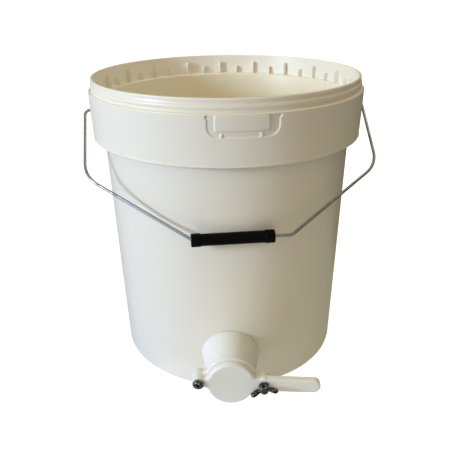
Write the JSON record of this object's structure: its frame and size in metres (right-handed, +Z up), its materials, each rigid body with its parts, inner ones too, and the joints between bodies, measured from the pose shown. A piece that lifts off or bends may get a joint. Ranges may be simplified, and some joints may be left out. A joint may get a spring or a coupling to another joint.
{
  "type": "honey bucket with gate",
  "caption": "White moulded bucket with a wire bail, a black grip and a swinging plastic honey gate clamped low on its front wall.",
  "frame": {"origin": "middle of the underside of the bucket's floor, on the surface that it stands on", "axes": "+Z up the bucket's axis, -Y out of the gate towards the viewer, +X to the viewer's right, the side of the gate's lever"},
  "size_m": [0.3488, 0.3802, 0.36],
  "materials": {
    "bucket_white": "white moulded polypropylene, satin, slightly translucent",
    "wire_steel": "drawn galvanised wire",
    "grip_black": "black moulded plastic, satin",
    "gate_white": "milky white moulded nylon",
    "fastener_steel": "plain stainless steel",
    "seal_rubber": "pale food-grade silicone rubber"
  },
  "bodies": {
    "vessel": {"bucket": "bucket_white", "gate_body": "gate_white", "pivot_screw": "fastener_steel", "pivot_washer": "fastener_steel", "pivot_nut": "fastener_steel", "clamp_bolt": "fastener_steel", "clamp_washer": "fastener_steel", "face_seal": "seal_rubber", "outer_gasket": "seal_rubber", "inner_gasket": "seal_rubber", "lock_nut": "gate_white"},
    "bail": {"bail_wire": "wire_steel"},
    "grip": {"bail_grip": "grip_black"},
    "flap": {"gate_flap": "gate_white"},
    "wing": {"wing_nut": "fastener_steel"}
  },
  "joints": [
    {"name": "bail_swing", "type": "hinge", "parent": "vessel", "child": "bail", "pos_m": [0, 0, 0.3195], "axis": [-0.9954, -0.0958, 0], "range_deg": [0, 250]},
    {"name": "grip_spin", "type": "hinge", "parent": "bail", "child": "grip", "pos_m": [0.00434, -0.15566, 0.21013], "axis": [0.9954, 0.0958, 0], "continuous": true},
    {"name": "flap_swing", "type": "hinge", "parent": "vessel", "child": "flap", "pos_m": [-0.03643, -0.196, 0.05323], "axis": [0, -1, 0], "range_deg": [0, 180]},
    {"name": "wing_nut_turn", "type": "hinge", "parent": "vessel", "child": "wing", "pos_m": [0.03643, -0.206, 0.04877], "axis": [0, -1, 0], "continuous": true}
  ]
}
